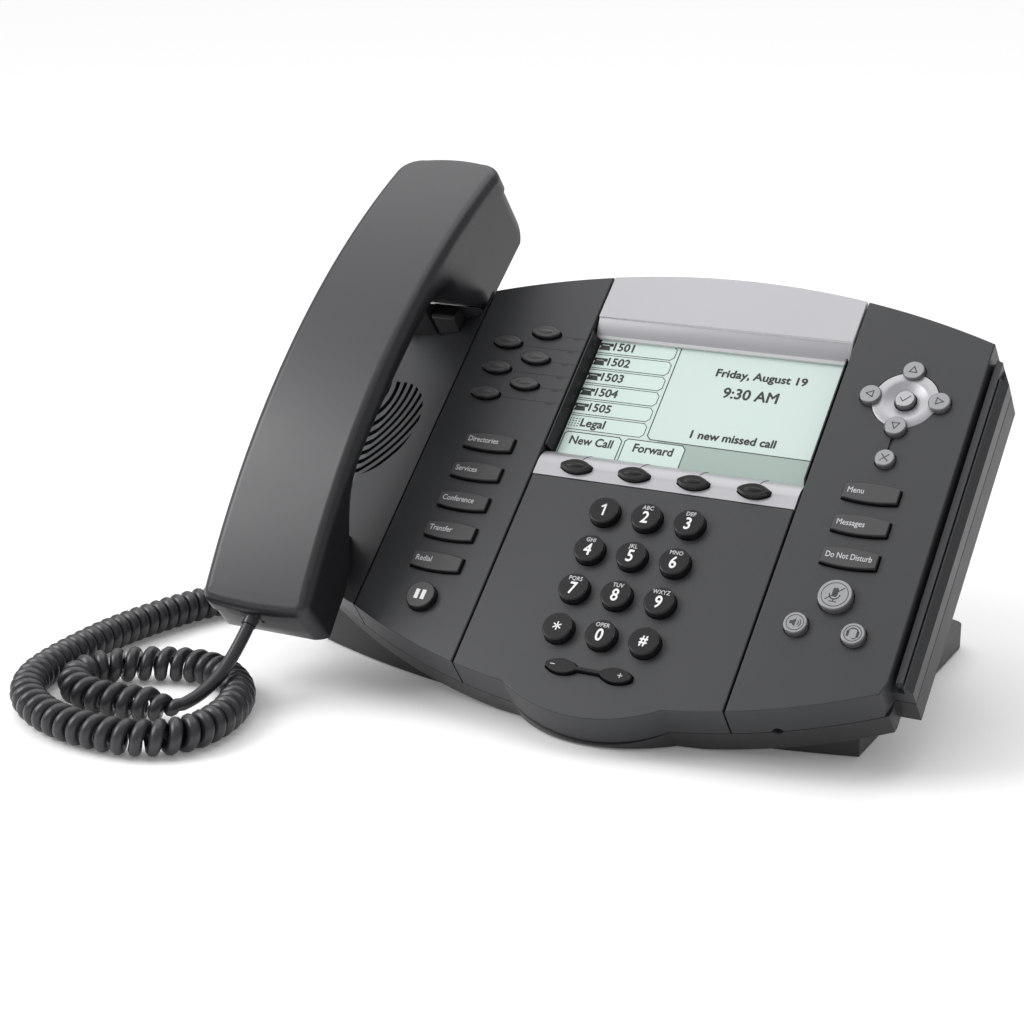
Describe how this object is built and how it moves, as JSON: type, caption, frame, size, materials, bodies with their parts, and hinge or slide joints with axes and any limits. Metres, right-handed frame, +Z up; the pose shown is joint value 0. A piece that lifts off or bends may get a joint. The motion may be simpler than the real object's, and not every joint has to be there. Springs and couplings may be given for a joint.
{
  "type": "desk ip phone",
  "caption": "Desk IP phone: tilted three-part face with grey display, soft keys, dial pad, line and feature keys, coil-corded handset in a side cradle, wedge stand.",
  "frame": {"origin": "on the desk, in the middle of the phone's outline without its cord", "axes": "+X to the right along the key rows, +Y to the back, +Z up"},
  "size_m": [0.3472, 0.2702, 0.1924],
  "materials": {
    "graphite_plastic": "fine satin texture",
    "black_key": "satin",
    "clear_grey_key": "translucent, smooth",
    "silver_plastic": "silver paint, satin",
    "grey_plastic": "satin",
    "display_glass": "smooth",
    "board_green": "board and dark blocks",
    "screw_steel": "plain",
    "rubber": "matt",
    "cord_plastic": "satin",
    "plug_plastic": "smooth"
  },
  "bodies": {
    "phone": {"base_plug": "plug_plastic", "base_stand": "graphite_plastic", "center_panel": "graphite_plastic", "cradle_panel": "graphite_plastic", "display_hood": "silver_plastic", "display_module": "display_glass", "electronics": "board_green", "handset_cord_coil": "cord_plastic", "handset_cord_lead": "cord_plastic", "housing_screws": "screw_steel", "left_panel": "graphite_plastic", "lower_housing": "graphite_plastic", "right_panel": "graphite_plastic", "rubber_feet": "rubber", "softkey_bar": "silver_plastic"},
    "handset": {"handset_outer_shell": "graphite_plastic", "handset_inner_shell": "graphite_plastic", "handset_plug": "plug_plastic"},
    "hook": {"hook_plunger": "grey_plastic"},
    "dial_key_0": {"dial_key_0": "black_key"},
    "dial_key_1": {"dial_key_1": "black_key"},
    "dial_key_2": {"dial_key_2": "black_key"},
    "dial_key_3": {"dial_key_3": "black_key"},
    "dial_key_4": {"dial_key_4": "black_key"},
    "dial_key_5": {"dial_key_5": "black_key"},
    "dial_key_6": {"dial_key_6": "black_key"},
    "dial_key_7": {"dial_key_7": "black_key"},
    "dial_key_8": {"dial_key_8": "black_key"},
    "dial_key_9": {"dial_key_9": "black_key"},
    "dial_key_pound": {"dial_key_pound": "black_key"},
    "dial_key_star": {"dial_key_star": "black_key"},
    "key_arrow_down": {"key_arrow_down": "clear_grey_key"},
    "key_arrow_left": {"key_arrow_left": "clear_grey_key"},
    "key_arrow_right": {"key_arrow_right": "clear_grey_key"},
    "key_arrow_up": {"key_arrow_up": "clear_grey_key"},
    "key_conference": {"key_conference": "black_key"},
    "key_delete": {"key_delete": "clear_grey_key"},
    "key_directories": {"key_directories": "black_key"},
    "key_do_not_disturb": {"key_do_not_disturb": "black_key"},
    "key_headset": {"key_headset": "clear_grey_key"},
    "key_hold": {"key_hold": "black_key"},
    "key_menu": {"key_menu": "black_key"},
    "key_messages": {"key_messages": "black_key"},
    "key_mute": {"key_mute": "clear_grey_key"},
    "key_redial": {"key_redial": "black_key"},
    "key_select": {"key_select": "silver_plastic"},
    "key_services": {"key_services": "black_key"},
    "key_speaker": {"key_speaker": "clear_grey_key"},
    "key_transfer": {"key_transfer": "black_key"},
    "key_volume": {"key_volume": "black_key"},
    "line_key_1": {"line_key_1": "black_key"},
    "line_key_2": {"line_key_2": "black_key"},
    "line_key_3": {"line_key_3": "black_key"},
    "line_key_4": {"line_key_4": "black_key"},
    "line_key_5": {"line_key_5": "black_key"},
    "line_key_6": {"line_key_6": "black_key"},
    "soft_key_1": {"soft_key_1": "black_key"},
    "soft_key_2": {"soft_key_2": "black_key"},
    "soft_key_3": {"soft_key_3": "black_key"},
    "soft_key_4": {"soft_key_4": "black_key"}
  },
  "joints": [
    {"name": "handset_lift", "type": "slide", "parent": "phone", "child": "handset", "axis": [0, -0.6521, 0.7581], "range_m": [0, 0.06]},
    {"name": "hook_rise", "type": "slide", "parent": "phone", "child": "hook", "axis": [0, -0.6521, 0.7581], "range_m": [0, 0.003]},
    {"name": "volume_rock", "type": "hinge", "parent": "phone", "child": "key_volume", "pos_m": [0.0207, -0.07269, 0.02593], "axis": [0, 0.7581, 0.6521], "range_deg": [-3, 3], "stiffness_Nm_per_rad": 0.06},
    {"name": "dial_key_5_press", "type": "slide", "parent": "phone", "child": "dial_key_5", "axis": [0, 0.6521, -0.7581], "range_m": [0, 0.0012], "stiffness_N_per_m": 400},
    {"name": "key_hold_press", "type": "slide", "parent": "phone", "child": "key_hold", "axis": [0, 0.6521, -0.7581], "range_m": [0, 0.0012], "stiffness_N_per_m": 400},
    {"name": "key_mute_press", "type": "slide", "parent": "phone", "child": "key_mute", "axis": [0, 0.6521, -0.7581], "range_m": [0, 0.0012], "stiffness_N_per_m": 400},
    {"name": "soft_key_1_press", "type": "slide", "parent": "phone", "child": "soft_key_1", "axis": [0, 0.6521, -0.7581], "range_m": [0, 0.0012], "stiffness_N_per_m": 400},
    {"name": "line_key_1_press", "type": "slide", "parent": "phone", "child": "line_key_1", "axis": [0, 0.6521, -0.7581], "range_m": [0, 0.0012], "stiffness_N_per_m": 400},
    {"name": "key_select_press", "type": "slide", "parent": "phone", "child": "key_select", "axis": [0, 0.6521, -0.7581], "range_m": [0, 0.0012], "stiffness_N_per_m": 400},
    {"name": "key_arrow_up_press", "type": "slide", "parent": "phone", "child": "key_arrow_up", "axis": [0, 0.6521, -0.7581], "range_m": [0, 0.0012], "stiffness_N_per_m": 400},
    {"name": "key_redial_press", "type": "slide", "parent": "phone", "child": "key_redial", "axis": [0, 0.6521, -0.7581], "range_m": [0, 0.0012], "stiffness_N_per_m": 400},
    {"name": "key_menu_press", "type": "slide", "parent": "phone", "child": "key_menu", "axis": [0, 0.6521, -0.7581], "range_m": [0, 0.0012], "stiffness_N_per_m": 400},
    {"name": "dial_key_0_press", "type": "slide", "parent": "phone", "child": "dial_key_0", "axis": [0, 0.6521, -0.7581], "range_m": [0, 0.0012], "stiffness_N_per_m": 400},
    {"name": "dial_key_1_press", "type": "slide", "parent": "phone", "child": "dial_key_1", "axis": [0, 0.6521, -0.7581], "range_m": [0, 0.0012], "stiffness_N_per_m": 400},
    {"name": "dial_key_2_press", "type": "slide", "parent": "phone", "child": "dial_key_2", "axis": [0, 0.6521, -0.7581], "range_m": [0, 0.0012], "stiffness_N_per_m": 400},
    {"name": "dial_key_3_press", "type": "slide", "parent": "phone", "child": "dial_key_3", "axis": [0, 0.6521, -0.7581], "range_m": [0, 0.0012], "stiffness_N_per_m": 400},
    {"name": "dial_key_4_press", "type": "slide", "parent": "phone", "child": "dial_key_4", "axis": [0, 0.6521, -0.7581], "range_m": [0, 0.0012], "stiffness_N_per_m": 400},
    {"name": "dial_key_6_press", "type": "slide", "parent": "phone", "child": "dial_key_6", "axis": [0, 0.6521, -0.7581], "range_m": [0, 0.0012], "stiffness_N_per_m": 400},
    {"name": "dial_key_7_press", "type": "slide", "parent": "phone", "child": "dial_key_7", "axis": [0, 0.6521, -0.7581], "range_m": [0, 0.0012], "stiffness_N_per_m": 400},
    {"name": "dial_key_8_press", "type": "slide", "parent": "phone", "child": "dial_key_8", "axis": [0, 0.6521, -0.7581], "range_m": [0, 0.0012], "stiffness_N_per_m": 400},
    {"name": "dial_key_9_press", "type": "slide", "parent": "phone", "child": "dial_key_9", "axis": [0, 0.6521, -0.7581], "range_m": [0, 0.0012], "stiffness_N_per_m": 400},
    {"name": "dial_key_pound_press", "type": "slide", "parent": "phone", "child": "dial_key_pound", "axis": [0, 0.6521, -0.7581], "range_m": [0, 0.0012], "stiffness_N_per_m": 400},
    {"name": "dial_key_star_press", "type": "slide", "parent": "phone", "child": "dial_key_star", "axis": [0, 0.6521, -0.7581], "range_m": [0, 0.0012], "stiffness_N_per_m": 400},
    {"name": "key_arrow_down_press", "type": "slide", "parent": "phone", "child": "key_arrow_down", "axis": [0, 0.6521, -0.7581], "range_m": [0, 0.0012], "stiffness_N_per_m": 400},
    {"name": "key_arrow_left_press", "type": "slide", "parent": "phone", "child": "key_arrow_left", "axis": [0, 0.6521, -0.7581], "range_m": [0, 0.0012], "stiffness_N_per_m": 400},
    {"name": "key_arrow_right_press", "type": "slide", "parent": "phone", "child": "key_arrow_right", "axis": [0, 0.6521, -0.7581], "range_m": [0, 0.0012], "stiffness_N_per_m": 400},
    {"name": "key_conference_press", "type": "slide", "parent": "phone", "child": "key_conference", "axis": [0, 0.6521, -0.7581], "range_m": [0, 0.0012], "stiffness_N_per_m": 400},
    {"name": "key_delete_press", "type": "slide", "parent": "phone", "child": "key_delete", "axis": [0, 0.6521, -0.7581], "range_m": [0, 0.0012], "stiffness_N_per_m": 400},
    {"name": "key_directories_press", "type": "slide", "parent": "phone", "child": "key_directories", "axis": [0, 0.6521, -0.7581], "range_m": [0, 0.0012], "stiffness_N_per_m": 400},
    {"name": "key_do_not_disturb_press", "type": "slide", "parent": "phone", "child": "key_do_not_disturb", "axis": [0, 0.6521, -0.7581], "range_m": [0, 0.0012], "stiffness_N_per_m": 400},
    {"name": "key_headset_press", "type": "slide", "parent": "phone", "child": "key_headset", "axis": [0, 0.6521, -0.7581], "range_m": [0, 0.0012], "stiffness_N_per_m": 400},
    {"name": "key_messages_press", "type": "slide", "parent": "phone", "child": "key_messages", "axis": [0, 0.6521, -0.7581], "range_m": [0, 0.0012], "stiffness_N_per_m": 400},
    {"name": "key_services_press", "type": "slide", "parent": "phone", "child": "key_services", "axis": [0, 0.6521, -0.7581], "range_m": [0, 0.0012], "stiffness_N_per_m": 400},
    {"name": "key_speaker_press", "type": "slide", "parent": "phone", "child": "key_speaker", "axis": [0, 0.6521, -0.7581], "range_m": [0, 0.0012], "stiffness_N_per_m": 400},
    {"name": "key_transfer_press", "type": "slide", "parent": "phone", "child": "key_transfer", "axis": [0, 0.6521, -0.7581], "range_m": [0, 0.0012], "stiffness_N_per_m": 400},
    {"name": "line_key_2_press", "type": "slide", "parent": "phone", "child": "line_key_2", "axis": [0, 0.6521, -0.7581], "range_m": [0, 0.0012], "stiffness_N_per_m": 400},
    {"name": "line_key_3_press", "type": "slide", "parent": "phone", "child": "line_key_3", "axis": [0, 0.6521, -0.7581], "range_m": [0, 0.0012], "stiffness_N_per_m": 400},
    {"name": "line_key_4_press", "type": "slide", "parent": "phone", "child": "line_key_4", "axis": [0, 0.6521, -0.7581], "range_m": [0, 0.0012], "stiffness_N_per_m": 400},
    {"name": "line_key_5_press", "type": "slide", "parent": "phone", "child": "line_key_5", "axis": [0, 0.6521, -0.7581], "range_m": [0, 0.0012], "stiffness_N_per_m": 400},
    {"name": "line_key_6_press", "type": "slide", "parent": "phone", "child": "line_key_6", "axis": [0, 0.6521, -0.7581], "range_m": [0, 0.0012], "stiffness_N_per_m": 400},
    {"name": "soft_key_2_press", "type": "slide", "parent": "phone", "child": "soft_key_2", "axis": [0, 0.6521, -0.7581], "range_m": [0, 0.0012], "stiffness_N_per_m": 400},
    {"name": "soft_key_3_press", "type": "slide", "parent": "phone", "child": "soft_key_3", "axis": [0, 0.6521, -0.7581], "range_m": [0, 0.0012], "stiffness_N_per_m": 400},
    {"name": "soft_key_4_press", "type": "slide", "parent": "phone", "child": "soft_key_4", "axis": [0, 0.6521, -0.7581], "range_m": [0, 0.0012], "stiffness_N_per_m": 400}
  ],
  "couplings": [
    {"joint": "hook_rise", "follows": "handset_lift", "ratio": 0.05}
  ]
}
